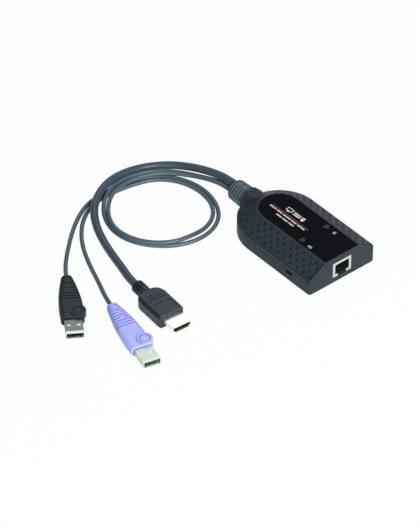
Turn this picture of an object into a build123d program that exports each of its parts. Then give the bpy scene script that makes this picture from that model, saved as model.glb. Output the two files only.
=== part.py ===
from build123d import *
import os
from math import atan2, cos, pi, radians, sin, tan

# A keyboard, video and mouse adapter with three captive leads, in millimetres. The housing
# stands on its underside at Z 0. The network jack faces -Y and the leads leave at +Y.

os.makedirs("parts", exist_ok=True)

# Fits
slip_fit = 0.1
board_gap = 0.5

# Housing, a D in plan: square at the jack, half round at the leads
body_width = 57.4
body_length = 92.3
parting_z = 9.2
lip_z = 13.4
top_z = 21.7
plateau_width = 30.6
wall = 1.8
underside_fillet = 2.2
corner_fillet = 2.4
shadow_line = 0.6
lip_line_depth = 0.9
parting_chamfer = 0.45
tongue_thickness = 0.7
tongue_height = 1.1

# Neck round the strain relief, eight sided and split along the parting line
neck_reach = 2.7
neck_across = 18.4
neck_wall = 3.0
neck_depth = 20.0
neck_edge = 0.8

# Dimples on the slopes, in staggered rows
dimple_diameter = 2.6
dimple_depth = 0.8
dimple_rows = 4
dimple_edge = 2.7
dimple_row_pitch = 3.5
dimple_pitch = 6.6
dimple_front = 3.0
dimple_end_angle = 62

# Label in the plateau, with a light pipe each side
label_rim = 0.9
label_thickness = 0.6
label_recess = 0.7
pipe_diameter = 2.8
pipe_collar_diameter = 5.0
pipe_collar_height = 1.2
pipe_inset = 3.7
pipe_back = 27.5
led_length = 3.0
led_width = 1.6
led_height = 1.1
led_gap = 0.3

# Screws up through the underside
screw_diameter = 2.0
screw_length = 10.0
screw_head_diameter = 3.8
screw_head_height = 1.4
screw_recess = 2.0
screw_drive = 1.3
screw_drive_depth = 0.7
boss_diameter = 6.0
boss_merge = 0.4
boss_rear_angle = 34

# Circuit board and what stands on it
board_thickness = 1.6
board_top_z = 5.2
board_rear_gap = 5.2
post_diameter = 3.6
post_side = 14.0
post_front_back = 26.0
post_rear_past_round = 4.0
main_chip_size = 14.0
main_chip_height = 1.6
memory_length = 11.0
memory_width = 8.0
memory_height = 1.1
transformer_length = 9.5
transformer_width = 15.0
transformer_height = 5.5
transformer_gap = 2.6
crystal_length = 5.0
crystal_width = 3.2
crystal_height = 1.2
chip_row_back = 40.0
chip_side = 12.5

# Network jack
jack_width = 16.1
jack_height = 11.9
jack_depth = 18.0
jack_set_back = 0.2
jack_sheet = 0.4
jack_frame = 2.0
jack_plug_depth = 13.0
latch_width = 7.3
latch_floor = 0.8
contact_count = 8
contact_pitch = 1.02
contact_width = 0.5
contact_thickness = 0.35
contact_land = 1.2
contact_drop = 3.2
contact_reach = 9.0

# Recovery switch behind a slot in the -X side
slot_length = 5.7
slot_height = 2.8
slot_back = 20.7
switch_length = 8.4
switch_depth = 3.6
knob_length = 2.6
knob_height = 1.5
knob_travel = 2.0
knob_seat = 1.6
knob_clearance = 0.25
knob_out = 1.0

# Strain relief, tapered and slotted
relief_length = 14.5
relief_base_diameter = 16.2
relief_end_diameter = 15.0
relief_end_round = 1.8
relief_core_diameter = 12.0
relief_flange_diameter = 14.8
relief_flange = 2.2
relief_slots = 5
relief_slot_width = 1.15
relief_slot_depth = 2.3
relief_slot_pitch = 2.5
relief_first_slot = 1.3
relief_bridge = 3.0

# Lead ends inside the housing
tail_diameter = 2.4
tail_straight = 3.0
tail_bend = 2.5
header_depth = 4.0
header_height = 5.0
header_back = 9.0
header_spacing = 9.5
video_header_width = 8.0
data_header_width = 6.0

# Leads, with where each leaves the strain relief, from its axis
video_cable_diameter = 5.5
data_cable_diameter = 3.0
video_exit = (1.8, 1.5)
keyboard_exit = (1.2, -3.0)
media_exit = (-3.0, -0.6)
lead_straight = 9.0
bend_share = 0.45

# Video plug
video_collar_length = 10.0
video_collar_diameter = 9.2
video_collar_rings = 3
video_ring_width = 0.9
video_ring_depth = 0.9
video_ring_pitch = 2.2
video_body_length = 29.0
video_body_width = 20.4
video_body_height = 10.6
video_shoulder = 8.0
video_edge = 2.0
video_front_corner = 1.6
video_panel_back = 12.0
video_panel_front = 2.5
video_panel_inset = 0.8
video_panel_depth = 0.35
video_panel_corner = 1.5
video_mark_lengths = (9.5, 9.5, 14.0)
video_mark_width = 0.9
video_mark_depth = 0.35
video_mark_pitch = 2.4
video_first_mark = 7.8
video_shell_length = 12.0
video_shell_width = 13.9
video_shell_height = 4.5
video_shell_corner = 1.9
video_sheet = 0.4
video_slot_height = 1.7
video_slot_side = 1.0
video_insert_back = 0.6
video_pin_count = 9
video_pin_pitch = 1.2
video_pin_width = 0.6
video_pin_height = 0.25
video_pin_back = 0.3

# Data plugs, alike but for colour and the length of the grip
keyboard_grip_length = 44.2
media_grip_length = 48.8
data_grip_height = 7.9
data_tail_width = 7.0
data_tail_height = 6.2
data_tail_corner = 2.8
data_waist_width = 13.2
data_waist_height = 7.4
data_waist_share = 0.35
data_shoulder_width = 16.2
data_shoulder_share = 0.7
data_front_width = 15.6
data_corner = 3.0
data_tail_round = 1.8
data_front_round = 0.8
data_rings = 9
data_ring_width = 0.9
data_ring_depth = 0.7
data_ring_pitch = 2.75
data_first_ring = 3.0
data_bridge = 2.6
data_bridged_rings = 6
boss_ring_diameter = 10.6
boss_ring_rise = 0.7
boss_ring_band = 1.4
boss_ring_back = 5.4
boss_ring_side = 4.0
boss_pad_diameter = 6.4
boss_pad_rise = 0.35
plug_seat = 2.0
data_shell_length = 14.8
data_shell_width = 12.0
data_shell_height = 4.5
data_sheet = 0.35
window_length = 2.2
window_width = 2.6
window_side = 3.3
window_back = 8.4
insert_back = 2.4
insert_height = 1.9
pad_count = 4
pad_pitch = 2.2
pad_width = 1.2
pad_height = 0.2
pad_length = 7.0

# Where the plugs lie: the tip of each metal shell and the way it points, in degrees from +X
video_tip = (-116.3, -21.3)
video_turn = -94.5
keyboard_tip = (-174.0, 18.2)
keyboard_turn = -123.0
media_tip = (-152.7, -35.1)
media_turn = -104.3

# Worked out from the sizes above
body_half = body_width / 2
plateau_half = plateau_width / 2
overall_length = body_length + neck_reach
front_y = -overall_length / 2
neck_end_y = overall_length / 2
round_y = front_y + body_length - body_half
slope = atan2(top_z - lip_z, body_half - plateau_half)
board_bottom_z = board_top_z - board_thickness
inner_half = body_half - wall
ceiling_z = top_z - wall
relief_end_y = neck_end_y + relief_length
relief_inner_y = neck_end_y - neck_wall - relief_flange
board_rear_y = relief_inner_y - board_rear_gap
video_centre_z = video_body_height / 2
data_centre_z = data_grip_height / 2
video_plug_length = video_collar_length + video_body_length + video_shell_length
keyboard_plug_length = keyboard_grip_length + data_shell_length
media_plug_length = media_grip_length + data_shell_length


def save(solid, node):
    export_step(solid, f"parts/{node}.step")


def block(x_range, y_range, z_range):
    """A box between two limits on each axis."""
    size = [limits[1] - limits[0] for limits in (x_range, y_range, z_range)]
    middle = [(limits[0] + limits[1]) / 2 for limits in (x_range, y_range, z_range)]
    return Pos(*middle) * Box(*size)


def upright(x, y, z_range, diameter):
    """A cylinder standing between two heights."""
    height = z_range[1] - z_range[0]
    return Pos(x, y, z_range[0] + height / 2) * Cylinder(diameter / 2, height)


def d_solid(half_profile, front):
    """Sweep a half section, as (side, height) points, along both sides and round the rear."""
    plane = Plane((0, round_y, 0), x_dir=(1, 0, 0), z_dir=(0, -1, 0))
    section = plane * make_face(Polyline(*half_profile, close=True))
    side = extrude(section, amount=round_y - front)
    rear = revolve(section, Axis((0, round_y, 0), (0, 0, 1)), 180)
    return side + mirror(side, Plane.YZ) + rear


def d_slab(half, front, z_range):
    """A plain D shaped slab."""
    low, high = z_range
    return d_solid([(0, low), (half, low), (half, high), (0, high)], front)


def along_y(y_range, diameter):
    """A cylinder on the neck's axis."""
    length = y_range[1] - y_range[0]
    return Pos(0, y_range[0] + length / 2, parting_z) * Rot(90, 0, 0) * Cylinder(diameter / 2, length)


def screw_places():
    """Bosses run into the wall beside them: two in the front corners and two in the round."""
    stand_off = boss_diameter / 2 - boss_merge
    reach = inner_half - stand_off
    turn = radians(boss_rear_angle)
    places = [(reach, front_y + wall + stand_off), (reach * cos(turn), round_y + reach * sin(turn))]
    return [(side * x, y) for x, y in places for side in (-1, 1)]


def post_places():
    rows = (front_y + post_front_back, round_y + post_rear_past_round)
    return [(side * post_side, row) for row in rows for side in (-1, 1)]


# Openings that both shells share
jack_opening = block(
    (-jack_width / 2 - slip_fit, jack_width / 2 + slip_fit),
    (front_y - wall, front_y + 2 * wall),
    (board_top_z - slip_fit, board_top_z + jack_height + slip_fit),
)
neck_hollow = along_y(
    (neck_end_y - neck_depth, neck_end_y - neck_wall), relief_flange_diameter + 2 * slip_fit
)
neck_bore = along_y((neck_end_y - neck_depth, neck_end_y + wall), relief_core_diameter + 2 * slip_fit)
neck_plane = Plane((0, neck_end_y, parting_z), x_dir=(1, 0, 0), z_dir=(0, -1, 0))
neck_outline = RegularPolygon(neck_across / 2, 8, major_radius=False, rotation=22.5)
neck = extrude(neck_plane * neck_outline, amount=neck_depth)
neck = chamfer(neck.faces().sort_by(Axis.Y)[-1].edges(), neck_edge)

# The tongue on the lower rim and the rebate that takes it
tongue_half = inner_half + tongue_thickness
tongue_front = front_y + wall - tongue_thickness
tongue = d_slab(tongue_half, tongue_front, (parting_z - wall, parting_z + tongue_height))
rebate = d_slab(
    tongue_half + slip_fit, tongue_front - slip_fit, (parting_z, parting_z + tongue_height + slip_fit)
)


# Top shell
def slope_height(side, drop=0):
    """Height of the slope at a distance from the middle, sunk by a drop square to it."""
    return lip_z + (body_half - side) * tan(slope) - drop / cos(slope)


def dimples():
    """Balls that sink the dimples, in staggered rows from the front to the neck."""
    ball_radius = (dimple_diameter**2 / 4 + dimple_depth**2) / (2 * dimple_depth)
    lift = ball_radius - dimple_depth
    straight = round_y - front_y
    mean_radius = (body_half + plateau_half) / 2
    arc = mean_radius * radians(dimple_end_angle)
    balls = []
    for row in range(dimple_rows):
        down = dimple_edge + row * dimple_row_pitch
        side = plateau_half + down * cos(slope) + lift * sin(slope)
        height = top_z - down * sin(slope) + lift * cos(slope)
        along = dimple_front + (row + 1) % 2 * dimple_pitch / 2
        while along < straight + arc:
            turn = max(0, along - straight) / mean_radius
            x = side * cos(turn)
            y = front_y + min(along, straight) + side * sin(turn)
            balls += [Pos(mirrored * x, y, height) * Sphere(ball_radius) for mirrored in (-1, 1)]
            along += dimple_pitch
    return balls


def front_shadow_lines():
    """A groove across each slope just behind the front face."""
    near = plateau_half + shadow_line
    far = body_half - shadow_line
    outline = [
        (near, slope_height(near, shadow_line)),
        (far, slope_height(far, shadow_line)),
        (far, top_z),
        (near, top_z),
    ]
    plane = Plane((0, front_y + 2 * shadow_line, 0), x_dir=(1, 0, 0), z_dir=(0, -1, 0))
    groove = extrude(plane * make_face(Polyline(*outline, close=True)), amount=shadow_line)
    return [groove, mirror(groove, Plane.YZ)]


lip_line_top_z = lip_z - shadow_line / 2
lip_line_bottom_z = lip_line_top_z - shadow_line
top_profile = [
    (0, parting_z),
    (body_half, parting_z),
    (body_half, lip_line_bottom_z),
    (body_half - lip_line_depth, lip_line_bottom_z),
    (body_half - lip_line_depth, lip_line_top_z),
    (body_half, lip_line_top_z),
    (body_half, lip_z),
    (plateau_half, top_z),
    (0, top_z),
]
ceiling_half = body_half - (ceiling_z - lip_z + wall / cos(slope)) / tan(slope)
top_cavity_profile = [
    (0, parting_z),
    (inner_half, parting_z),
    (inner_half, slope_height(inner_half, wall)),
    (ceiling_half, ceiling_z),
    (0, ceiling_z),
]
plan = d_slab(body_half, front_y, (0, top_z))
plan = fillet(plan.edges().filter_by(Axis.Z).group_by(Axis.Y)[0], corner_fillet)
label_half = plateau_half - label_rim
label_front = front_y + label_rim
pipe_y = front_y + pipe_back
pipe_side = label_half - pipe_inset
pipe_places = {"power": (pipe_side, pipe_y), "link": (-pipe_side, pipe_y)}
boss_tops = [upright(x, y, (parting_z, top_z), boss_diameter) for x, y in screw_places()]
pilot_holes = [
    upright(x, y, (parting_z, screw_recess + screw_length + slip_fit), screw_diameter + slip_fit)
    for x, y in screw_places()
]
pipe_holes = [
    upright(x, y, (parting_z, top_z), pipe_diameter + 2 * slip_fit) for x, y in pipe_places.values()
]
label_pocket = d_slab(label_half + slip_fit, label_front - slip_fit, (top_z - label_recess, top_z))
top_outer = (d_solid(top_profile, front_y) & plan) + split(neck, Plane.XY.offset(parting_z))
top_cavity = d_solid(top_cavity_profile, front_y + wall)
top_shell = top_outer - top_cavity + [boss & top_outer for boss in boss_tops]
top_shell -= [rebate, jack_opening, neck_hollow, neck_bore, label_pocket]
top_shell -= pilot_holes + pipe_holes + front_shadow_lines()
top_shell -= dimples()
save(top_shell, "top_shell")

# Bottom shell
switch_y = front_y + slot_back
bottom_outer = d_slab(body_half, front_y, (0, parting_z)) & plan
bottom_outer = fillet(bottom_outer.faces().sort_by(Axis.Z)[0].edges(), underside_fillet)
bottom_outer = chamfer(bottom_outer.faces().sort_by(Axis.Z)[-1].edges(), parting_chamfer)
bottom_outer += split(neck, Plane.XY.offset(parting_z), keep=Keep.BOTTOM)
bottom_cavity = d_slab(inner_half, front_y + wall, (wall, parting_z + tongue_height))
boss_bottoms = [upright(x, y, (0, parting_z), boss_diameter) for x, y in screw_places()]
screw_holes = [
    upright(x, y, (0, parting_z), screw_diameter + 2 * slip_fit) for x, y in screw_places()
]
screw_recesses = [
    upright(x, y, (0, screw_recess), screw_head_diameter + 2 * slip_fit) for x, y in screw_places()
]
posts = [upright(x, y, (wall / 2, board_bottom_z), post_diameter) for x, y in post_places()]
switch_slot = block(
    (-body_half - wall, -inner_half + tongue_thickness),
    (switch_y - slot_length / 2, switch_y + slot_length / 2),
    (parting_z - slot_height, parting_z + tongue_height),
)
bottom_shell = bottom_outer + tongue - bottom_cavity + boss_bottoms + posts
bottom_shell -= [jack_opening, neck_hollow, neck_bore, switch_slot]
bottom_shell -= screw_holes + screw_recesses
save(bottom_shell, "bottom_shell")


# Screws, four alike, with a cross recess in the head
def screw(x, y):
    seat = screw_recess
    bottom = seat - screw_head_height
    head = upright(x, y, (bottom, seat), screw_head_diameter)
    shank = upright(x, y, (seat, seat + screw_length), screw_diameter)
    drive_z = (bottom, bottom + screw_drive_depth)
    arm = screw_drive / 4
    slots = [
        block((x - screw_drive, x + screw_drive), (y - arm, y + arm), drive_z),
        block((x - arm, x + arm), (y - screw_drive, y + screw_drive), drive_z),
    ]
    return head + shank - slots


save(Compound([screw(x, y).solid() for x, y in screw_places()]), "housing_screws")

# Label plate
label_top_z = top_z - label_recess + label_thickness
label = d_slab(label_half, label_front, (top_z - label_recess, label_top_z)) - pipe_holes
save(label, "label_plate")

# Light pipes, each with a collar under the ceiling, and the lamp on the board below it
for name, (x, y) in pipe_places.items():
    led_top_z = board_top_z + led_height
    pipe = upright(x, y, (led_top_z + led_gap, label_top_z), pipe_diameter)
    pipe += upright(x, y, (ceiling_z - pipe_collar_height, ceiling_z), pipe_collar_diameter)
    save(pipe, f"{name}_light_pipe")
    led = block(
        (x - led_length / 2, x + led_length / 2),
        (y - led_width / 2, y + led_width / 2),
        (board_top_z, led_top_z),
    )
    save(led, f"{name}_led")

# Circuit board, cut square at the rear and cleared round the bosses
board = d_slab(inner_half - board_gap, front_y + wall + board_gap, (board_bottom_z, board_top_z))
board -= block((-body_half, body_half), (board_rear_y, neck_end_y), (0, parting_z))
board -= [
    upright(x, y, (board_bottom_z, board_top_z), boss_diameter + 2 * board_gap)
    for x, y in screw_places()
]
save(board, "circuit_board")


# Chips on the board
def chip(x, y, length, width, height):
    return block(
        (x - width / 2, x + width / 2),
        (y - length / 2, y + length / 2),
        (board_top_z, board_top_z + height),
    )


chip_y = front_y + chip_row_back
jack_front_y = front_y + jack_set_back
transformer_y = jack_front_y + jack_depth + transformer_gap + transformer_length / 2
save(chip(0, chip_y, main_chip_size, main_chip_size, main_chip_height), "main_chip")
save(chip(-chip_side, chip_y, memory_length, memory_width, memory_height), "memory_chip")
save(chip(chip_side, chip_y, crystal_length, crystal_width, crystal_height), "crystal")
save(
    chip(0, transformer_y, transformer_length, transformer_width, transformer_height),
    "network_transformer",
)

# Network jack: a plated sheet can round a plastic body, with sprung contacts under its roof
jack_half = jack_width / 2
jack_top_z = board_top_z + jack_height
jack_back_y = jack_front_y + jack_depth
mouth_half = jack_half - jack_frame
mouth_bottom_z = board_top_z + jack_frame
mouth_top_z = jack_top_z - jack_frame
jack_can = block((-jack_half, jack_half), (jack_front_y, jack_back_y), (board_top_z, jack_top_z))
jack_inside = block(
    (-jack_half + jack_sheet, jack_half - jack_sheet),
    (jack_front_y + jack_sheet, jack_back_y - jack_sheet),
    (board_top_z, jack_top_z - jack_sheet),
)
mouth = block(
    (-mouth_half, mouth_half),
    (jack_front_y, jack_front_y + jack_plug_depth),
    (mouth_bottom_z, mouth_top_z),
)
latch_notch = block(
    (-latch_width / 2, latch_width / 2),
    (jack_front_y, jack_front_y + jack_sheet),
    (board_top_z, mouth_bottom_z),
)
latch_channel = block(
    (-latch_width / 2, latch_width / 2),
    (jack_front_y, jack_front_y + jack_plug_depth),
    (board_top_z + latch_floor, mouth_bottom_z),
)
save(jack_can - [jack_inside, mouth, latch_notch], "jack_shield")
jack_body = block(
    (-jack_half + jack_sheet + slip_fit / 2, jack_half - jack_sheet - slip_fit / 2),
    (jack_front_y + jack_sheet, jack_back_y - jack_sheet - slip_fit / 2),
    (board_top_z, jack_top_z - jack_sheet - slip_fit / 2),
)
save(jack_body - [mouth, latch_channel], "jack_body")


def jack_contact(x):
    """A bent wire: flat under the roof, then sloping down towards the back of the mouth."""
    start = jack_front_y + contact_land
    outline = [
        (start, mouth_top_z),
        (start + contact_land, mouth_top_z),
        (start + contact_reach, mouth_top_z - contact_drop),
        (start + contact_reach, mouth_top_z - contact_drop - contact_thickness),
        (start + contact_land, mouth_top_z - contact_thickness),
        (start, mouth_top_z - contact_thickness),
    ]
    plane = Plane((x - contact_width / 2, 0, 0), x_dir=(0, 1, 0), z_dir=(1, 0, 0))
    return extrude(plane * make_face(Polyline(*outline, close=True)), amount=contact_width)


contact_row = [(index - (contact_count - 1) / 2) * contact_pitch for index in range(contact_count)]
save(Compound([jack_contact(x).solid() for x in contact_row]), "jack_contacts")

# Recovery switch: a small body on the board with a knob that slides along the slot
knob_z = parting_z - slot_height / 2
switch_face_x = -inner_half + board_gap
switch_body = block(
    (switch_face_x, switch_face_x + switch_depth),
    (switch_y - switch_length / 2, switch_y + switch_length / 2),
    (board_top_z, parting_z),
)
track_half = (knob_length + knob_travel) / 2 + knob_clearance
switch_track = block(
    (switch_face_x, switch_face_x + knob_seat + knob_clearance),
    (switch_y - track_half, switch_y + track_half),
    (knob_z - knob_height / 2 - knob_clearance, knob_z + knob_height / 2 + knob_clearance),
)
save(switch_body - switch_track, "switch_body")
knob_y = switch_y - knob_travel / 2
switch_knob = block(
    (switch_face_x - knob_out, switch_face_x + knob_seat),
    (knob_y - knob_length / 2, knob_y + knob_length / 2),
    (knob_z - knob_height / 2, knob_z + knob_height / 2),
)
save(switch_knob, "switch_knob")

# Strain relief: a flange held in the neck and a tapered, slotted sleeve outside it
relief_outline = [
    (0, relief_inner_y),
    (relief_flange_diameter / 2, relief_inner_y),
    (relief_flange_diameter / 2, relief_inner_y + relief_flange),
    (relief_core_diameter / 2, relief_inner_y + relief_flange),
    (relief_core_diameter / 2, neck_end_y),
    (relief_base_diameter / 2, neck_end_y),
    (relief_end_diameter / 2, relief_end_y),
    (0, relief_end_y),
]
relief_plane = Plane((0, 0, parting_z), x_dir=(1, 0, 0), z_dir=(0, 0, 1))
relief_axis = Axis((0, 0, parting_z), (0, 1, 0))
relief = revolve(relief_plane * make_face(Polyline(*relief_outline, close=True)), relief_axis)
relief = fillet(relief.faces().sort_by(Axis.Y)[-1].edges(), relief_end_round)
taper = (relief_base_diameter - relief_end_diameter) / 2 / relief_length
for slot in range(relief_slots):
    start = neck_end_y + relief_first_slot + slot * relief_slot_pitch
    floor_radius = relief_base_diameter / 2 - taper * (start - neck_end_y) - relief_slot_depth
    ring = along_y((start, start + relief_slot_width), 2 * relief_base_diameter)
    ring -= along_y((start, start + relief_slot_width), 2 * floor_radius)
    web = Box(4 * relief_base_diameter, 4 * relief_slot_width, relief_bridge)
    ring -= Pos(0, start, parting_z) * web
    if slot % 2:
        ring -= Pos(0, start, parting_z) * Rot(0, 90, 0) * web
    relief -= ring
save(relief, "strain_relief")


# Leads
def tube(points, diameter):
    """A round lead along straight runs and arcs as large as the runs allow."""
    corners = [Vector(*point) for point in points]
    runs = [after - before for before, after in zip(corners, corners[1:])]
    radii = [
        bend_share * min(before.length, after.length) / tan(radians(before.get_angle(after) / 2))
        for before, after in zip(runs, runs[1:])
    ]
    path = FilletPolyline(*points, radius=radii)
    section = Plane(path @ 0, z_dir=path % 0) * Circle(diameter / 2)
    solid = sweep(section, path=path)
    share = solid.volume / (pi * diameter**2 / 4 * path.length)
    print("lead", round(path.length, 1), "mm, volume over section times length", round(share, 4))
    print("   bend radii", [round(radius) for radius in radii])
    return solid


def behind_tip(tip, turn, length):
    """A point on a plug's axis, at a distance behind its tip."""
    return tip[0] - length * cos(radians(turn)), tip[1] - length * sin(radians(turn))


def lead_start(exit_place):
    """The first two points of a lead, straight out of the strain relief."""
    height = parting_z + exit_place[1]
    return [
        (exit_place[0], relief_end_y, height),
        (exit_place[0], relief_end_y + lead_straight, height),
    ]


def lead_end(tip, turn, length, height):
    """The last two points of a lead, straight into its plug."""
    return [
        (*behind_tip(tip, turn, length + lead_straight), height),
        (*behind_tip(tip, turn, length), height),
    ]


video_route = [
    *lead_start(video_exit),
    (0.2, 84, 9.4),
    (-5, 99.5, 8),
    (-14, 113, 6.6),
    (-27, 123, 6),
    (-42, 127.6, 7.5),
    (-57, 126.5, 9),
    (-71.5, 120.5, 9.2),
    (-83.5, 110, 8),
    (-92, 96, 5),
    (-98, 80.5, 2.9),
    (-103.2, 65, 2.85),
    (-107.6, 50.5, 4),
    *lead_end(video_tip, video_turn, video_plug_length, video_centre_z),
]
keyboard_route = [
    *lead_start(keyboard_exit),
    (-0.8, 83, 4.6),
    (-7, 95.5, 5),
    (-16.8, 107, 7.6),
    (-30, 116.6, 7.7),
    (-45.5, 121, 7.7),
    (-61, 119, 7.7),
    (-73.5, 111.3, 6),
    (-81.8, 99.6, 3.2),
    (-85.2, 85.5, 1.6),
    (-83.5, 71, 1.6),
    (-76.3, 58, 1.6),
    (-64.8, 47.7, 1.6),
    (-50.6, 42.4, 1.6),
    (-35.8, 43, 1.6),
    (-22.5, 50, 1.6),
    (-14, 62, 1.6),
    (-10, 76.3, 1.6),
    (-11, 91, 1.6),
    (-17.5, 105, 1.6),
    (-28.6, 115, 1.6),
    (-42.6, 119.8, 1.6),
    (-57, 122, 1.6),
    (-71, 122.8, 1.6),
    (-84.5, 119.8, 1.6),
    (-97, 112.5, 1.6),
    (-108.5, 103.6, 1.6),
    (-118.5, 94.4, 2),
    (-127, 86, 3.4),
    *lead_end(keyboard_tip, keyboard_turn, keyboard_plug_length, data_centre_z),
]
media_route = [
    *lead_start(media_exit),
    (-5.4, 83, 8),
    (-10.8, 94.5, 7.7),
    (-20, 105.2, 7.7),
    (-32.4, 113.6, 7.7),
    (-46.4, 117.4, 7.7),
    (-59.8, 115.6, 7.7),
    (-71, 108.6, 6),
    (-78.4, 98, 3.2),
    (-81.6, 85.5, 1.6),
    (-80, 72.4, 1.6),
    (-73.5, 60.4, 1.6),
    (-63, 50.8, 1.6),
    (-50, 46.2, 1.6),
    (-36.8, 46.6, 1.6),
    (-25, 52.8, 1.6),
    (-17.4, 63.8, 1.6),
    (-13.6, 76.8, 1.6),
    (-14.6, 90.3, 1.6),
    (-20.6, 102.9, 1.6),
    (-30.6, 111.7, 1.6),
    (-43.4, 116, 1.6),
    (-57.3, 118.2, 1.6),
    (-71, 118.4, 1.6),
    (-84, 114.8, 1.6),
    (-95, 107.8, 1.6),
    (-103.8, 98, 1.6),
    (-110.8, 86.6, 1.6),
    (-117, 74.4, 1.6),
    (-123, 61.5, 2),
    (-128.8, 49, 3.4),
    *lead_end(media_tip, media_turn, media_plug_length, data_centre_z),
]
save(tube(video_route, video_cable_diameter), "video_cable")
save(tube(keyboard_route, data_cable_diameter), "keyboard_cable")
save(tube(media_route, data_cable_diameter), "media_cable")

# Inner ends of the leads, each running from the strain relief to a header on the board
header_y = board_rear_y - header_back
lead_ends = [
    ("video", video_exit, header_spacing, video_header_width),
    ("keyboard", keyboard_exit, 0, data_header_width),
    ("media", media_exit, -header_spacing, data_header_width),
]
for name, exit_place, header_x, header_width in lead_ends:
    save(chip(header_x, header_y, header_depth, header_width, header_height), f"{name}_header")
    exit_x = exit_place[0]
    exit_z = parting_z + exit_place[1]
    header_back_y = header_y + header_depth / 2
    header_z = board_top_z + header_height / 2
    tail_path = FilletPolyline(
        (exit_x, relief_inner_y, exit_z),
        (exit_x, relief_inner_y - tail_straight, exit_z),
        (header_x, header_back_y + tail_straight, header_z),
        (header_x, header_back_y, header_z),
        radius=tail_bend,
    )
    tail_section = Plane(tail_path @ 0, z_dir=tail_path % 0) * Circle(tail_diameter / 2)
    save(sweep(tail_section, path=tail_path), f"{name}_tail")


# Plugs, built along +X from where the lead enters and then laid in place
def across(x):
    """A plane square to a plug's axis, with its second axis upright."""
    return Plane((x, 0, 0), x_dir=(0, 1, 0), z_dir=(1, 0, 0))


def lay(solid, tip, turn, length, height):
    return Pos(*behind_tip(tip, turn, length), height) * Rot(0, 0, turn) * solid


def lay_all(pieces, name, tip, turn, length, height):
    """Write a plug's pieces where the plug lies."""
    for piece, solid in pieces.items():
        save(lay(solid, tip, turn, length, height), f"{name}_plug_{piece}")


def data_bar(length, inset):
    """The grip's outer form, or the same form sunk by an inset for the floors of the grooves."""
    stations = [
        (0, data_tail_width, data_tail_height, data_tail_corner),
        (data_waist_share * length, data_waist_width, data_waist_height, data_corner),
        (data_shoulder_share * length, data_shoulder_width, data_grip_height, data_corner),
        (length, data_front_width, data_grip_height, data_corner),
    ]
    sections = [
        across(x) * RectangleRounded(width - 2 * inset, height - 2 * inset, corner - inset)
        for x, width, height, corner in stations
    ]
    bar = loft(sections)
    bar = fillet(bar.faces().sort_by(Axis.X)[-1].edges(), data_front_round)
    return fillet(bar.faces().sort_by(Axis.X)[0].edges(), data_tail_round)


def data_plug(grip_length):
    reach = data_shoulder_width
    grooves = []
    for ring in range(data_rings):
        ring_x = data_first_ring + ring * data_ring_pitch
        x_range = (ring_x, ring_x + data_ring_width)
        groove = block(x_range, (-reach, reach), (-reach, reach))
        if ring % 2 and ring < data_bridged_rings:
            groove -= block(x_range, (-data_bridge / 2, data_bridge / 2), (-reach, reach))
        grooves.append(groove)
    grip = data_bar(grip_length, data_ring_depth) + (data_bar(grip_length, 0) - grooves)
    top = data_grip_height / 2
    boss_x = grip_length - boss_ring_back
    boss_top = top + boss_ring_rise
    boss_well = boss_ring_diameter - 2 * boss_ring_band
    grip += upright(boss_x, boss_ring_side, (0, boss_top), boss_ring_diameter)
    grip -= upright(boss_x, boss_ring_side, (top, boss_top), boss_well)
    grip += upright(boss_x, boss_ring_side, (0, top + boss_pad_rise), boss_pad_diameter)
    shell_half = data_shell_width / 2
    shell_rise = data_shell_height / 2
    tip_x = grip_length + data_shell_length
    seat_x = grip_length - plug_seat
    grip -= block(
        (seat_x, grip_length),
        (-shell_half - slip_fit, shell_half + slip_fit),
        (-shell_rise - slip_fit, shell_rise + slip_fit),
    )
    inside_half = shell_half - data_sheet
    inside_rise = shell_rise - data_sheet
    shell = block((seat_x, tip_x), (-shell_half, shell_half), (-shell_rise, shell_rise))
    shell -= block((seat_x, tip_x), (-inside_half, inside_half), (-inside_rise, inside_rise))
    window_x = tip_x - window_back
    for side in (-1, 1):
        shell -= block(
            (window_x - window_length / 2, window_x + window_length / 2),
            (side * window_side - window_width / 2, side * window_side + window_width / 2),
            (-data_shell_height, data_shell_height),
        )
    insert_bottom = inside_rise - insert_height
    insert = block(
        (seat_x, tip_x - insert_back), (-inside_half, inside_half), (insert_bottom, inside_rise)
    )
    pad_row = [(index - (pad_count - 1) / 2) * pad_pitch for index in range(pad_count)]
    pads = [
        block(
            (tip_x - insert_back - pad_length, tip_x - insert_back),
            (middle - pad_width / 2, middle + pad_width / 2),
            (insert_bottom - pad_height, insert_bottom),
        ).solid()
        for middle in pad_row
    ]
    return {"grip": grip, "shell": shell, "insert": insert, "contacts": Compound(pads)}


def video_outline(width, height, corner):
    """The socket outline: square at the top, with both lower corners cut."""
    half = width / 2
    rise = height / 2
    return make_face(
        Polyline(
            (-half, rise),
            (half, rise),
            (half, corner - rise),
            (half - corner, -rise),
            (corner - half, -rise),
            (-half, corner - rise),
            close=True,
        )
    )


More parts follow.
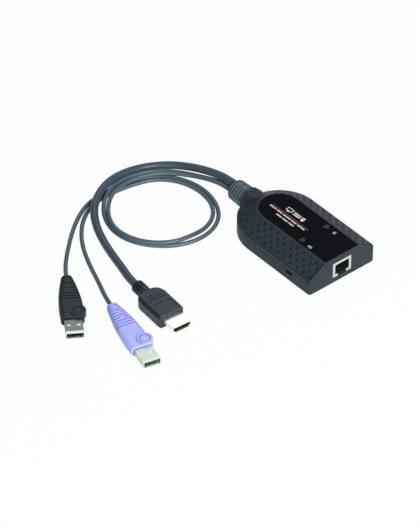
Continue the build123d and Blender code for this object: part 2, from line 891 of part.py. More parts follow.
def video_plug():
    body_start = video_collar_length
    body_front = body_start + video_body_length
    tip_x = body_front + video_shell_length
    seat_x = body_front - plug_seat
    half = video_body_width / 2
    rise = video_body_height / 2
    body = block((body_start, body_front), (-half, half), (-rise, rise))
    body = fillet(body.edges().filter_by(Axis.Z).group_by(Axis.X)[0], video_shoulder)
    long_edges = body.edges().filter_by(Axis.X)
    shoulder_edges = body.edges().filter_by(GeomType.CIRCLE)
    back_edges = body.edges().filter_by(Axis.Y).group_by(Axis.X)[0]
    body = chamfer(long_edges + shoulder_edges + back_edges, video_edge)
    body = fillet(body.edges().filter_by(Axis.Z).group_by(Axis.X)[-1], video_front_corner)
    panel_half = half - video_edge - video_panel_inset
    panel = block(
        (body_front - video_panel_back, body_front - video_panel_front),
        (-panel_half, panel_half),
        (rise - video_panel_depth, rise),
    )
    panel = fillet(panel.edges().filter_by(Axis.Z), video_panel_corner)
    marks = []
    for row, length in enumerate(video_mark_lengths):
        mark_x = body_start + video_first_mark + row * video_mark_pitch
        mark = block(
            (mark_x, mark_x + video_mark_width),
            (-length / 2, length / 2),
            (rise - video_mark_depth, rise),
        )
        marks.append(mark)
    collar = across(0) * Circle(video_collar_diameter / 2)
    collar = extrude(collar, amount=body_start + video_shoulder)
    for ring in range(video_collar_rings):
        start = video_ring_width + ring * video_ring_pitch
        groove = extrude(across(start) * Circle(video_collar_diameter), amount=video_ring_width)
        floor = Circle(video_collar_diameter / 2 - video_ring_depth)
        collar -= groove - extrude(across(start) * floor, amount=video_ring_width)
    grip = body + collar - [panel, *marks]
    outer = video_outline(video_shell_width, video_shell_height, video_shell_corner)
    seat_width = video_shell_width + 2 * slip_fit
    seat_height = video_shell_height + 2 * slip_fit
    seat = video_outline(seat_width, seat_height, video_shell_corner)
    grip -= extrude(across(seat_x) * seat, amount=plug_seat)
    inner_width = video_shell_width - 2 * video_sheet
    inner_height = video_shell_height - 2 * video_sheet
    inner_corner = video_shell_corner - video_sheet / 2
    inner = video_outline(inner_width, inner_height, inner_corner)
    shell_length = tip_x - seat_x
    shell = extrude(across(seat_x) * outer, amount=shell_length)
    shell -= extrude(across(seat_x) * inner, amount=shell_length)
    insert_front = tip_x - video_insert_back
    insert = extrude(across(seat_x) * inner, amount=insert_front - seat_x)
    slot_half = inner_width / 2 - video_slot_side
    slot_rise = video_slot_height / 2
    insert -= block((body_front, insert_front), (-slot_half, slot_half), (-slot_rise, slot_rise))
    pins = []
    for index in range(video_pin_count):
        middle = (index - (video_pin_count - 1) / 2) * video_pin_pitch
        for low in (-slot_rise, slot_rise - video_pin_height):
            pin = block(
                (body_front, insert_front - video_pin_back),
                (middle - video_pin_width / 2, middle + video_pin_width / 2),
                (low, low + video_pin_height),
            )
            pins.append(pin.solid())
    return {"grip": grip, "shell": shell, "insert": insert, "contacts": Compound(pins)}


lay_all(video_plug(), "video", video_tip, video_turn, video_plug_length, video_centre_z)
lay_all(
    data_plug(keyboard_grip_length),
    "keyboard",
    keyboard_tip,
    keyboard_turn,
    keyboard_plug_length,
    data_centre_z,
)
lay_all(
    data_plug(media_grip_length), "media", media_tip, media_turn, media_plug_length, data_centre_z
)
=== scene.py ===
from math import cos, radians, sin

import bmesh
import bpy
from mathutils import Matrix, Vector


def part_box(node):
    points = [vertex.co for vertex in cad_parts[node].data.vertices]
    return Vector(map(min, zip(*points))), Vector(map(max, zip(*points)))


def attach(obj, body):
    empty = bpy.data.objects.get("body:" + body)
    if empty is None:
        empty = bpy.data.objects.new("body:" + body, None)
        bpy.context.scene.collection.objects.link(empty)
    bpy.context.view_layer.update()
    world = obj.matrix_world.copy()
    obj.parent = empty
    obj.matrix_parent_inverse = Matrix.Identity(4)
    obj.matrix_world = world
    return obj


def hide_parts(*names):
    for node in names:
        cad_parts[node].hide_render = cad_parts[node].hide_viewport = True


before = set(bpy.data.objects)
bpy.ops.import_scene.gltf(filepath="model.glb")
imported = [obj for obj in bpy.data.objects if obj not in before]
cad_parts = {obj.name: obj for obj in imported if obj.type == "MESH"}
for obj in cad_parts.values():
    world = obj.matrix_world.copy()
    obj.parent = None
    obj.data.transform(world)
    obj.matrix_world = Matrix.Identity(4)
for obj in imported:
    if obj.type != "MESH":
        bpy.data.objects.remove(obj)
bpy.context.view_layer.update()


# Circuit board: glass and epoxy laminate under a green solder mask, cut to the housing's outline
# and held on posts. The mask is smooth with a slight gloss, and shows only with the housing open.
# Reach and rays of the painted shade in creases.
CREASE_REACH = 0.0015
CREASE_RAYS = 8


def linear(hex_colour):
    """An sRGB hex colour as linear RGBA."""
    channels = [int(hex_colour[i : i + 2], 16) / 255 for i in (1, 3, 5)]
    return [c / 12.92 if c <= 0.04045 else ((c + 0.055) / 1.055) ** 2.4 for c in channels] + [1]


def add(tree, kind, inputs, **settings):
    """Add a node with its settings, and set or link each input."""
    node = tree.nodes.new(kind)
    for setting, value in settings.items():
        setattr(node, setting, value)
    for socket, value in inputs.items():
        if isinstance(value, bpy.types.NodeSocket):
            tree.links.new(value, node.inputs[socket])
        else:
            node.inputs[socket].default_value = value
    return node


def per_metre(size_mm):
    """A texture scale that gives features of a size in millimetres."""
    return 1000 / size_mm


def finish(
    name, pale, dark, patch_mm, grit_mm, relief_mm, shader, crease_shade=0.5, shade_colour="#000000", joints=False
):
    """Two close colours in patches under a raised grit, with painted shade in creases, and near
    other parts and the floor when asked.
    """
    material = bpy.data.materials.new(name)
    material.use_nodes = True
    tree = material.node_tree
    tree.nodes.clear()
    place = add(tree, "ShaderNodeTexCoord", {}).outputs["Object"]
    patches = add(
        tree, "ShaderNodeTexNoise", {"Vector": place, "Scale": per_metre(patch_mm), "Detail": 3}
    )
    grit = add(
        tree, "ShaderNodeTexNoise", {"Vector": place, "Scale": per_metre(grit_mm), "Detail": 2}
    )
    colour = add(
        tree,
        "ShaderNodeMix",
        {"Factor": patches.outputs["Fac"], "A": linear(dark), "B": linear(pale)},
        data_type="RGBA",
    )
    # Painted shade: an occlusion node, raised to a power, darkens the colour towards a dark one in
    # creases and hollows, and near other parts and the floor when asked.
    painted_occlusion = add(
        tree,
        "ShaderNodeAmbientOcclusion",
        {"Distance": CREASE_REACH},
        samples=CREASE_RAYS,
        only_local=not joints,
    )
    depth = add(tree, "ShaderNodeMath", {0: painted_occlusion.outputs["AO"], 1: crease_shade}, operation="POWER")
    shaded = add(
        tree,
        "ShaderNodeMix",
        {"Factor": depth.outputs[0], "A": linear(shade_colour), "B": colour.outputs["Result"]},
        data_type="RGBA",
    )
    bump = add(
        tree,
        "ShaderNodeBump",
        {"Height": grit.outputs["Fac"], "Distance": relief_mm / 1000, "Strength": 1},
    )
    surface = add(
        tree,
        "ShaderNodeBsdfPrincipled",
        {"Base Color": shaded.outputs["Result"], "Normal": bump.outputs["Normal"], **shader},
    )
    add(tree, "ShaderNodeOutputMaterial", {"Surface": surface.outputs["BSDF"]})
    return material


def dress(material, *names):
    """Give CAD nodes their finish."""
    for name in names:
        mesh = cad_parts[name].data
        mesh.materials.clear()
        mesh.materials.append(material)


solder_mask = finish(
    "solder_mask",
    pale="#1f6a3c",
    dark="#174f2e",
    patch_mm=6,
    grit_mm=0.8,
    relief_mm=0.02,
    shader={"Roughness": 0.35, "IOR": 1.5},
)
dress(solder_mask, "circuit_board")

# Chips: black epoxy moulded round the die, with a matt eroded surface. The transformer is the
# same epoxy, and the crystal is a drawn and plated steel can, so it shines beside them.
epoxy = finish(
    "moulded_epoxy",
    pale="#26272a",
    dark="#1c1d20",
    patch_mm=2,
    grit_mm=0.3,
    relief_mm=0.02,
    shader={"Roughness": 0.6, "IOR": 1.55},
)
dress(epoxy, "main_chip", "memory_chip", "network_transformer")
plated_can = finish(
    "plated_steel_can",
    pale="#c9cbc8",
    dark="#b2b5b3",
    patch_mm=2,
    grit_mm=0.5,
    relief_mm=0.01,
    shader={"Metallic": 1, "Roughness": 0.3},
)
dress(plated_can, "crystal")

# Indicator lamps: clear epoxy lenses cast over the lamps' chips, soldered to the board under the
# light pipes. Unlit, they are pale and glossy.
lens_epoxy = finish(
    "clear_lens_epoxy",
    pale="#eceadb",
    dark="#dcd9c6",
    patch_mm=1,
    grit_mm=0.3,
    relief_mm=0.01,
    shader={"Roughness": 0.15, "IOR": 1.54},
)
dress(lens_epoxy, "power_led", "link_led")

# Headers: moulded nylon blocks on the board that the cores of the leads plug into. Undyed nylon
# is a warm white with a soft sheen.
nylon = finish(
    "white_nylon",
    pale="#e6e2d4",
    dark="#d9d4c4",
    patch_mm=3,
    grit_mm=0.4,
    relief_mm=0.02,
    shader={"Roughness": 0.5, "IOR": 1.53},
)
dress(nylon, "video_header", "keyboard_header", "media_header")

# Network jack: a can of nickel-plated steel sheet folded round a black plastic body, with eight
# gold-plated spring wires. The plating is bright with a faint rolled grain.
nickel = finish(
    "nickel_plated_sheet",
    pale="#eef0ec",
    dark="#dfe2dd",
    patch_mm=4,
    grit_mm=0.5,
    relief_mm=0.006,
    shader={"Metallic": 1, "Roughness": 0.22},
)
dress(nickel, "jack_shield")
jack_plastic = finish(
    "black_glass_filled_nylon",
    pale="#1d2320",
    dark="#121614",
    patch_mm=2,
    grit_mm=0.4,
    relief_mm=0.02,
    shader={"Roughness": 0.5, "IOR": 1.53},
)
dress(jack_plastic, "jack_body")
gold = finish(
    "gold_plate",
    pale="#e8c26a",
    dark="#d6ab52",
    patch_mm=1,
    grit_mm=0.3,
    relief_mm=0.004,
    shader={"Metallic": 1, "Roughness": 0.2},
)
dress(gold, "jack_contacts")

# Recovery switch: a small slide switch of moulded nylon, soldered to the board behind a slot in
# the housing's side. It is matt and darker than the housing, so it reads as a dark gap.
switch_nylon = finish(
    "black_switch_nylon",
    pale="#18191b",
    dark="#101113",
    patch_mm=1,
    grit_mm=0.3,
    relief_mm=0.02,
    shader={"Roughness": 0.5, "IOR": 1.53},
)
dress(switch_nylon, "switch_body", "switch_knob")

# Housing: two shells of dark grey ABS, injection moulded in a spark-eroded tool, so every face
# is matt. The tool's grit is about 0.2 mm and is drawn coarser here, or it wouldn't show.
abs_plastic = finish(
    "spark_eroded_abs",
    pale="#343a41",
    dark="#2b3036",
    patch_mm=9,
    grit_mm=0.9,
    relief_mm=0.05,
    shader={"Roughness": 0.45, "IOR": 1.53, "Specular IOR Level": 0.13},
    # Strong painted shade in the dimples, the lip groove and the parting line.
    crease_shade=3,
)
dress(abs_plastic, "top_shell", "bottom_shell")

# Screws: steel with a black oxide finish, driven up through the underside into the top shell. The
# oxide leaves a dark metal with a soft sheen.
black_oxide = finish(
    "black_oxide_steel",
    pale="#4a4b4e",
    dark="#37383b",
    patch_mm=1,
    grit_mm=0.3,
    relief_mm=0.01,
    shader={"Metallic": 1, "Roughness": 0.45},
)
dress(black_oxide, "housing_screws")

# Light pipes: smoked acrylic rods, held by a collar under the top shell, that carry the lamps'
# light up to the label. With no light in them they are smooth and nearly as dark as the label.
smoked_acrylic = finish(
    "smoked_acrylic",
    pale="#2c2e31",
    dark="#222427",
    patch_mm=1,
    grit_mm=0.4,
    relief_mm=0.004,
    shader={"Roughness": 0.2, "Specular IOR Level": 0.1},
)
dress(smoked_acrylic, "power_light_pipe", "link_light_pipe")

# Label: a plate of black polycarbonate, bonded in the recess of the plateau. Its face is smooth
# and very dark, with a slow ripple from the bonding.
label_film = finish(
    "black_polycarbonate_film",
    pale="#0f1016",
    dark="#0a0b10",
    patch_mm=14,
    grit_mm=6,
    relief_mm=0.02,
    shader={"Roughness": 0.28, "IOR": 1.58, "Specular IOR Level": 0.01},
)
dress(label_film, "label_plate")

# Print on the label: white, orange and grey ink, screen printed in a thin matt layer. It has signs
# for the screen, the keyboard and the pointer, a double rule, two rows of blocks, and a sign by each
# lamp. The grey arc by each lamp is a painted highlight on the rim of its window, laid like the ink.
INK_THICKNESS = 0.00003
label_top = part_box("label_plate")[1].z


def screen_ink(name, pale, dark):
    """A matt ink that varies a little in thickness."""
    return finish(
        name,
        pale,
        dark,
        patch_mm=3,
        grit_mm=0.3,
        relief_mm=0.004,
        shader={"Roughness": 0.5, "IOR": 1.5},
    )


def oblong(along, across):
    """A bar between two limits along the line of print and two limits across it."""
    return [
        (along[0], across[0]),
        (along[1], across[0]),
        (along[1], across[1]),
        (along[0], across[1]),
    ]


def bow(centre, radius, start, end, steps=24):
    """Points along part of a circle, between two angles in degrees."""
    turns = [radians(start + (end - start) * step / steps) for step in range(steps + 1)]
    return [(centre[0] + radius * cos(t), centre[1] + radius * sin(t)) for t in turns]


def arc(centre, radius, width, start, end):
    """Part of a ring, between two angles in degrees."""
    inner = bow(centre, radius - width, start, end)
    return bow(centre, radius, start, end) + inner[::-1]


def outline(along, across, width):
    """Four bars that frame an oblong."""
    inside = (across[0] + width, across[1] - width)
    return [
        oblong(along, (across[0], inside[0])),
        oblong(along, (inside[1], across[1])),
        oblong((along[0], along[0] + width), inside),
        oblong((along[1] - width, along[1]), inside),
    ]


def print_on_label(name, shapes, origin, ink):
    """Lay flat shapes of ink, in millimetres along -Y and across to +X from an origin in metres."""
    mesh = bmesh.new()
    for shape in shapes:
        corners = [
            mesh.verts.new((origin[0] + across / 1000, origin[1] - along / 1000, label_top))
            for along, across in shape
        ]
        face = mesh.faces.new(corners)
        raised = bmesh.ops.extrude_face_region(mesh, geom=[face])["geom"]
        lifted = [part for part in raised if isinstance(part, bmesh.types.BMVert)]
        bmesh.ops.translate(mesh, vec=(0, 0, INK_THICKNESS), verts=lifted)
    bmesh.ops.recalc_face_normals(mesh, faces=mesh.faces)
    data = bpy.data.meshes.new(name)
    mesh.to_mesh(data)
    mesh.free()
    data.materials.append(ink)
    piece = bpy.data.objects.new(name, data)
    bpy.context.scene.collection.objects.link(piece)
    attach(piece, "adapter")


white_ink = screen_ink("white_ink", "#f2f2ee", "#e4e4df")
orange_ink = screen_ink("orange_ink", "#ac5429", "#994822")
painted_glint_grey = screen_ink("painted_glint_grey", "#85888a", "#75787a")

screen_sign = outline((0, 5.4), (1.0, 4.2), width=0.5)
screen_sign += [oblong((2.3, 3.1), (0.45, 1.0)), oblong((1.3, 4.1), (0, 0.45))]
KEY_START = 7
KEY_PITCH = 0.95
KEY_WIDTH = 0.65
KEY_DEPTH = 0.75
keyboard_sign = []
for key in range(7):
    left = KEY_START + KEY_PITCH * key
    for low in (1.9, 3.0):
        keyboard_sign.append(oblong((left, left + KEY_WIDTH), (low, low + KEY_DEPTH)))
for wide_key in ((7, 7.65), (7.95, 12.4), (12.7, 13.35)):
    keyboard_sign.append(oblong(wide_key, (0.8, 1.55)))
pointer_sign = [
    bow((16, 1.6), radius=1.3, start=180, end=360) + [(17.3, 2.2), (14.7, 2.2)],
    oblong((14.7, 15.85), (2.55, 4.0)),
    oblong((16.15, 17.3), (2.55, 4.0)),
]
device_signs = screen_sign + keyboard_sign + pointer_sign
print_on_label("device_signs", device_signs, (0.0012, 0.0125), white_ink)
double_rule = [oblong((0, 36), (0, 0.24)), oblong((1, 37), (-0.78, -0.54))]
print_on_label("double_rule", double_rule, (-0.0009, 0.0225), orange_ink)

BLOCK_WIDTH = 0.75
BLOCK_HEIGHT = 1.1
BLOCK_PITCH = 1.05
GROUP_GAP = 0.9


def block_row(groups):
    """A row of small blocks, in groups of the given counts."""
    blocks = []
    along = 0
    for count in groups:
        for _ in range(count):
            blocks.append(oblong((along, along + BLOCK_WIDTH), (0, BLOCK_HEIGHT)))
            along += BLOCK_PITCH
        along += GROUP_GAP
    return blocks


print_on_label("long_row", block_row((6, 5, 7, 5, 7)), (-0.0034, 0.0226), white_ink)
print_on_label("short_row", block_row((5, 5, 5)), (-0.0064, 0.0127), white_ink)
for name in ("power", "link"):
    low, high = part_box(f"{name}_light_pipe")
    middle = (low + high) / 2
    lamp_place = (middle.x, middle.y)
    # Painted highlight: a grey arc on the rim of each lamp window.
    painted_lamp_glint = arc((0, 0), radius=2.3, width=0.3, start=100, end=235)
    print_on_label(f"{name}_painted_lamp_glint", [painted_lamp_glint], lamp_place, painted_glint_grey)
power_sign = [
    arc((1.2, 0), radius=1.15, width=0.34, start=120, end=420),
    oblong((1.03, 1.37), (0.2, 1.35)),
]
print_on_label("power_sign", power_sign, (0.0105, -0.0262), white_ink)
link_sign = [
    arc((0.9, 0), radius=0.9, width=0.32, start=40, end=320),
    arc((2.5, 0), radius=0.9, width=0.32, start=-140, end=140),
    oblong((0.9, 2.5), (-0.16, 0.16)),
]
print_on_label("link_sign", link_sign, (-0.0115, -0.0262), white_ink)

# Strain relief: soft grey PVC moulded over the three leads and held in the neck by its flange. Its
# slots let it bend with the leads, and show as dark lines between pale ribs, with painted shade in
# them.
relief_pvc = finish(
    "soft_grey_pvc",
    pale="#65747d",
    dark="#56656e",
    patch_mm=5,
    grit_mm=0.7,
    relief_mm=0.03,
    shader={"Roughness": 0.45, "IOR": 1.53},
    crease_shade=1,
)
dress(relief_pvc, "strain_relief")

# Leads: extruded PVC jackets, 5.5 mm for video and 3 mm for data, lying on the floor in one loose
# loop. The jacket is satin with a faint drawn grain. The inner ends run to the headers.
video_jacket = finish(
    "video_pvc_jacket",
    pale="#41505d",
    dark="#374653",
    patch_mm=12,
    grit_mm=0.6,
    relief_mm=0.02,
    shader={"Roughness": 0.38, "IOR": 1.53},
)
data_jacket = finish(
    "data_pvc_jacket",
    pale="#51606c",
    dark="#465561",
    patch_mm=12,
    grit_mm=0.6,
    relief_mm=0.02,
    shader={"Roughness": 0.38, "IOR": 1.53},
)
dress(video_jacket, "video_tail")
dress(data_jacket, "keyboard_tail", "media_tail")
VIDEO_ROUTE = [
    (0.0018, 0.0620, 0.0107),
    (0.0018, 0.0710, 0.0107),
    (0.0005, 0.0844, 0.0089),
    (-0.0044, 0.1003, 0.0066),
    (-0.0127, 0.1145, 0.0044),
    (-0.0256, 0.1246, 0.0034),
    (-0.0413, 0.1275, 0.0052),
    (-0.0570, 0.1265, 0.0064),
    (-0.0715, 0.1205, 0.0066),
    (-0.0843, 0.1106, 0.0062),
    (-0.0932, 0.0970, 0.0045),
    (-0.0990, 0.0814, 0.0029),
    (-0.1035, 0.0652, 0.0029),
    (-0.1076, 0.0505, 0.0040),
    (-0.1116, 0.0385, 0.0053),
    (-0.1123, 0.0295, 0.0053),
]
KEYBOARD_ROUTE = [
    (0.0012, 0.0620, 0.0062),
    (0.0012, 0.0710, 0.0062),
    (-0.0008, 0.0830, 0.0044),
    (-0.0066, 0.0958, 0.0034),
    (-0.0156, 0.1084, 0.0040),
    (-0.0285, 0.1182, 0.0046),
    (-0.0443, 0.1231, 0.0046),
    (-0.0601, 0.1217, 0.0047),
    (-0.0734, 0.1134, 0.0047),
    (-0.0828, 0.1012, 0.0030),
    (-0.0862, 0.0874, 0.0016),
    (-0.0843, 0.0730, 0.0016),
    (-0.0768, 0.0599, 0.0016),
    (-0.0650, 0.0494, 0.0016),
    (-0.0508, 0.0440, 0.0016),
    (-0.0361, 0.0445, 0.0016),
    (-0.0231, 0.0514, 0.0016),
    (-0.0148, 0.0632, 0.0016),
    (-0.0110, 0.0774, 0.0016),
    (-0.0119, 0.0918, 0.0016),
    (-0.0178, 0.1054, 0.0016),
    (-0.0284, 0.1154, 0.0016),
    (-0.0424, 0.1202, 0.0016),
    (-0.0570, 0.1224, 0.0016),
    (-0.0710, 0.1229, 0.0016),
    (-0.0845, 0.1198, 0.0016),
    (-0.0970, 0.1125, 0.0016),
    (-0.1085, 0.1036, 0.0016),
    (-0.1185, 0.0944, 0.0020),
    (-0.1270, 0.0860, 0.0034),
    (-0.1370, 0.0752, 0.0040),
    (-0.1419, 0.0677, 0.0040),
]
MEDIA_ROUTE = [
    (-0.0030, 0.0620, 0.0086),
    (-0.0030, 0.0710, 0.0086),
    (-0.0052, 0.0832, 0.0070),
    (-0.0100, 0.0954, 0.0052),
    (-0.0186, 0.1068, 0.0048),
    (-0.0302, 0.1153, 0.0048),
    (-0.0448, 0.1192, 0.0047),
    (-0.0592, 0.1180, 0.0048),
    (-0.0710, 0.1107, 0.0051),
    (-0.0808, 0.0994, 0.0053),
    (-0.0856, 0.0872, 0.0047),
    (-0.0846, 0.0728, 0.0047),
    (-0.0774, 0.0594, 0.0047),
    (-0.0650, 0.0493, 0.0050),
    (-0.0502, 0.0477, 0.0040),
    (-0.0374, 0.0496, 0.0017),
    (-0.0259, 0.0546, 0.0016),
    (-0.0175, 0.0648, 0.0016),
    (-0.0141, 0.0778, 0.0016),
    (-0.0150, 0.0912, 0.0016),
    (-0.0204, 0.1036, 0.0016),
    (-0.0301, 0.1128, 0.0016),
    (-0.0431, 0.1171, 0.0016),
    (-0.0573, 0.1193, 0.0016),
    (-0.0710, 0.1196, 0.0016),
    (-0.0844, 0.1160, 0.0016),
    (-0.0954, 0.1084, 0.0016),
    (-0.1046, 0.0986, 0.0016),
    (-0.1120, 0.0876, 0.0016),
    (-0.1180, 0.0753, 0.0016),
    (-0.1235, 0.0619, 0.0020),
    (-0.1288, 0.0490, 0.0034),
    (-0.1348, 0.0353, 0.0040),
    (-0.1370, 0.0265, 0.0040),
]


def lay_lead(name, route, diameter, jacket):
    """A lead on one smooth line along its route, in place of the CAD cable, which it hides."""
    line = bpy.data.curves.new(f"{name}_lead", "CURVE")
    line.dimensions = "3D"
    line.bevel_depth = diameter / 2
    line.bevel_resolution = 6
    line.resolution_u = 16
    line.use_fill_caps = True
    spline = line.splines.new("NURBS")
    spline.points.add(len(route) - 1)
    for point, place in zip(spline.points, route):
        point.co = (*place, 1)
    spline.order_u = 3
    spline.use_endpoint_u = True
    line.materials.append(jacket)
    lead = bpy.data.objects.new(f"{name}_lead", line)
    bpy.context.scene.collection.objects.link(lead)
    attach(lead, "adapter")
    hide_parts(f"{name}_cable")


lay_lead(
    "video",
    VIDEO_ROUTE,
    diameter=0.0055,
    jacket=video_jacket,
)
lay_lead(
    "keyboard",
    KEYBOARD_ROUTE,
    diameter=0.003,
    jacket=data_jacket,
)
lay_lead(
    "media",
    MEDIA_ROUTE,
    diameter=0.003,
    jacket=data_jacket,
)

# Video plug: charcoal PVC moulded over a plated steel shell, with a ringed collar round the lead, a
# shallow panel sunk in the top and three grooves moulded behind it. The PVC has a satin sheen and
# the plating is bright and warm.
charcoal_pvc = finish(
    "moulded_charcoal_pvc",
    pale="#1e2a33",
    dark="#17222b",
    patch_mm=7,
    grit_mm=0.8,
    relief_mm=0.03,
    shader={"Roughness": 0.42, "Specular IOR Level": 0.58},
    # Painted shade where the grip nears the shell and the floor.
    joints=True,
)
warm_nickel = finish(
    "warm_nickel_plate",
    pale="#fbf8ea",
    dark="#f4f0e0",
    patch_mm=4,
    grit_mm=0.5,
    relief_mm=0.004,
    shader={"Metallic": 1, "Roughness": 0.3},
)
black_pbt = finish(
    "black_pbt",
    pale="#1a1b1d",
    dark="#121315",
    patch_mm=1,
    grit_mm=0.3,
    relief_mm=0.02,
    shader={"Roughness": 0.5, "IOR": 1.55},
)
dress(charcoal_pvc, "video_plug_grip")
dress(warm_nickel, "video_plug_shell")
dress(black_pbt, "video_plug_insert")
dress(gold, "video_plug_contacts")

# Data plugs: one moulding in black and in lilac PVC, ringed at the lead and with a round boss by
# the shell. The steel shells are tin plated on the black plug and nickel plated on the lilac one,
# brighter in a band at the mouth that is partly wear and partly a painted highlight, and hold a
# plastic tongue with four gold pads.
black_pvc = finish(
    "moulded_black_pvc",
    pale="#2b3138",
    dark="#22282e",
    patch_mm=7,
    grit_mm=0.8,
    relief_mm=0.03,
    shader={"Roughness": 0.42, "IOR": 1.53, "Specular IOR Level": 0.24},
    # Painted shade where the grip nears the shell and the floor.
    joints=True,
)
lilac_pvc = finish(
    "moulded_lilac_pvc",
    pale="#bebefe",
    dark="#b4b4fc",
    patch_mm=7,
    grit_mm=0.8,
    relief_mm=0.03,
    shader={"Roughness": 0.45, "IOR": 1.53, "Specular IOR Level": 0.3},
    # Painted shade in violet in the ring grooves, round the boss, and where the grip meets the shell
    # and the floor.
    crease_shade=1.6,
    shade_colour="#6b68d8",
    joints=True,
)
white_pbt = finish(
    "white_pbt",
    pale="#eeeeea",
    dark="#e2e2dd",
    patch_mm=1,
    grit_mm=0.3,
    relief_mm=0.02,
    shader={"Roughness": 0.45, "IOR": 1.55},
)
tin_plate = finish(
    "dull_tin_plate",
    pale="#858a81",
    dark="#767b73",
    patch_mm=3,
    grit_mm=0.5,
    relief_mm=0.006,
    shader={"Metallic": 1, "Roughness": 0.32},
)
satin_nickel = finish(
    "satin_nickel_plate",
    pale="#d6dece",
    dark="#c9d1c2",
    patch_mm=3,
    grit_mm=0.5,
    relief_mm=0.006,
    shader={"Metallic": 1, "Roughness": 0.32},
)
gold_flash = finish(
    "thin_gold_flash",
    pale="#8a6c38",
    dark="#755a2e",
    patch_mm=1,
    grit_mm=0.3,
    relief_mm=0.004,
    shader={"Metallic": 1, "Roughness": 0.5},
)


def wear_and_light_mouth(plating, shell, route, bright):
    """Paint a shell's plating brighter in a band at its mouth: partly wear from sliding into its
    socket, partly a painted highlight on the lit lead-in.
    """
    band = 0.0022
    fade = 0.0003
    heading = (Vector(route[-1]) - Vector(route[-2])).normalized()
    mouth = max(heading.dot(vertex.co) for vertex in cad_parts[shell].data.vertices)
    tree = plating.node_tree
    surface = tree.nodes["Principled BSDF"]
    plain = surface.inputs["Base Color"].links[0].from_socket
    place = add(tree, "ShaderNodeTexCoord", {}).outputs["Object"]
    along = add(tree, "ShaderNodeVectorMath", {0: place, 1: heading}, operation="DOT_PRODUCT")
    mouth_band = add(
        tree,
        "ShaderNodeMapRange",
        {"Value": along.outputs["Value"], "From Min": mouth - band - fade, "From Max": mouth - band},
    )
    worn_and_lit = add(
        tree,
        "ShaderNodeMix",
        {"Factor": mouth_band.outputs["Result"], "A": plain, "B": linear(bright)},
        data_type="RGBA",
    )
    tree.links.new(worn_and_lit.outputs["Result"], surface.inputs["Base Color"])


dress(black_pvc, "keyboard_plug_grip")
dress(lilac_pvc, "media_plug_grip")
# Mouth bands: partly wear, partly a painted highlight on each shell's lit lead-in.
wear_and_light_mouth(tin_plate, "keyboard_plug_shell", KEYBOARD_ROUTE, "#e6ebe6")
dress(tin_plate, "keyboard_plug_shell")
wear_and_light_mouth(satin_nickel, "media_plug_shell", MEDIA_ROUTE, "#dce4dd")
dress(satin_nickel, "media_plug_shell")
dress(white_pbt, "keyboard_plug_insert", "media_plug_insert")
dress(gold_flash, "keyboard_plug_contacts", "media_plug_contacts")

# Floor: a plain white sweep under the object. The camera and bright metal see it as white, and it
# keeps a part of the object's shadow.
FLOOR_HALF = 12
FLOOR_LEVEL = -0.0002
SEEN_GLOW = 0.94
MIRRORED_GLOW = 0.5
floor_mesh = bpy.data.meshes.new("floor")
floor_corners = [
    (x * FLOOR_HALF, y * FLOOR_HALF, FLOOR_LEVEL) for x, y in ((-1, -1), (1, -1), (1, 1), (-1, 1))
]
floor_mesh.from_pydata(floor_corners, [], [(0, 1, 2, 3)])
floor = bpy.data.objects.new("floor", floor_mesh)
bpy.context.scene.collection.objects.link(floor)
paper = bpy.data.materials.new("white_paper")
paper.use_nodes = True
tree = paper.node_tree
tree.nodes.clear()
rays = add(tree, "ShaderNodeLightPath", {}).outputs
mirrored = add(
    tree,
    "ShaderNodeMath",
    {0: rays["Is Glossy Ray"], 1: rays["Is Transmission Ray"]},
    operation="MAXIMUM",
)
dimmed = add(
    tree, "ShaderNodeMath", {0: mirrored.outputs[0], 1: MIRRORED_GLOW}, operation="MULTIPLY"
)
direct = add(
    tree, "ShaderNodeMath", {0: rays["Is Camera Ray"], 1: SEEN_GLOW}, operation="MULTIPLY"
)
share = add(
    tree, "ShaderNodeMath", {0: dimmed.outputs[0], 1: direct.outputs[0]}, operation="MAXIMUM"
)
matt = add(tree, "ShaderNodeBsdfDiffuse", {"Color": linear("#ecf8f6")})
glow = add(tree, "ShaderNodeEmission", {"Color": linear("#ffffff"), "Strength": 1})
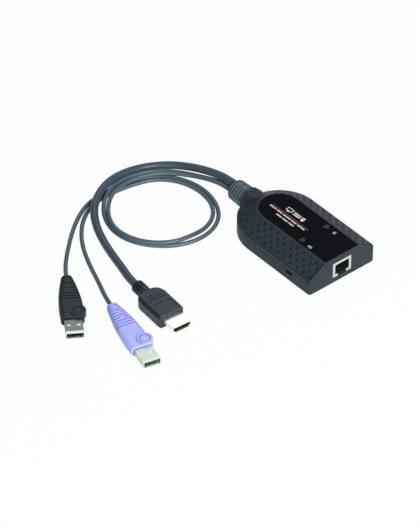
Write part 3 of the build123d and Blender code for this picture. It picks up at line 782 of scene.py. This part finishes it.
mixed = add(
    tree,
    "ShaderNodeMixShader",
    {0: share.outputs[0], 1: matt.outputs["BSDF"], 2: glow.outputs["Emission"]},
)
add(tree, "ShaderNodeOutputMaterial", {"Surface": mixed.outputs["Shader"]})
floor_mesh.materials.append(paper)

# Studio light: a dim even room with a large soft lamp high in front, a weaker one low on the left
# and one behind that gives the tops their sheen.
world = bpy.data.worlds.new("studio")
bpy.context.scene.world = world
world.use_nodes = True
room = world.node_tree.nodes["Background"]
room.inputs["Color"].default_value = linear("#ffffff")
room.inputs["Strength"].default_value = 0.17
TARGET = Vector((-0.056917, 0.020902, 0))
LAMP_DISTANCE = 1.6


def soft_lamp(name, towards, size, power, tint):
    """A square lamp in a direction from the middle of the object."""
    lamp = bpy.data.lights.new(name, "AREA")
    lamp.size = size
    lamp.energy = power
    lamp.color = linear(tint)[:3]
    stand = bpy.data.objects.new(name, lamp)
    direction = Vector(towards).normalized()
    stand.location = TARGET + direction * LAMP_DISTANCE
    stand.rotation_euler = direction.to_track_quat("Z", "Y").to_euler()
    bpy.context.scene.collection.objects.link(stand)


soft_lamp("high_lamp", (-0.1, -0.75, 0.65), size=1.0, power=26.5, tint="#ffffff")
soft_lamp("low_lamp", (-0.75, -0.5, 0.4), size=1.0, power=9, tint="#c4f0ec")
soft_lamp("back_lamp", (0.49, 0.586, 0.644), size=0.8, power=2.8, tint="#f4f8ff")

# Camera: a long lens from the jack's left, looking down on the object. It stands far off, so that
# edges which run side by side stay almost parallel.
AZIMUTH = radians(-40.02)
ELEVATION = radians(40.093)
CAMERA_DISTANCE = 3.0
lens = bpy.data.cameras.new("camera")
lens.lens = 306.98
lens.sensor_width = 36
camera = bpy.data.objects.new("camera", lens)
back = Vector((sin(AZIMUTH) * cos(ELEVATION), -cos(AZIMUTH) * cos(ELEVATION), sin(ELEVATION)))
camera.location = TARGET + back * CAMERA_DISTANCE
camera.rotation_euler = back.to_track_quat("Z", "Y").to_euler()
bpy.context.scene.collection.objects.link(camera)
bpy.context.scene.camera = camera
bpy.context.scene.view_settings.view_transform = "Standard"
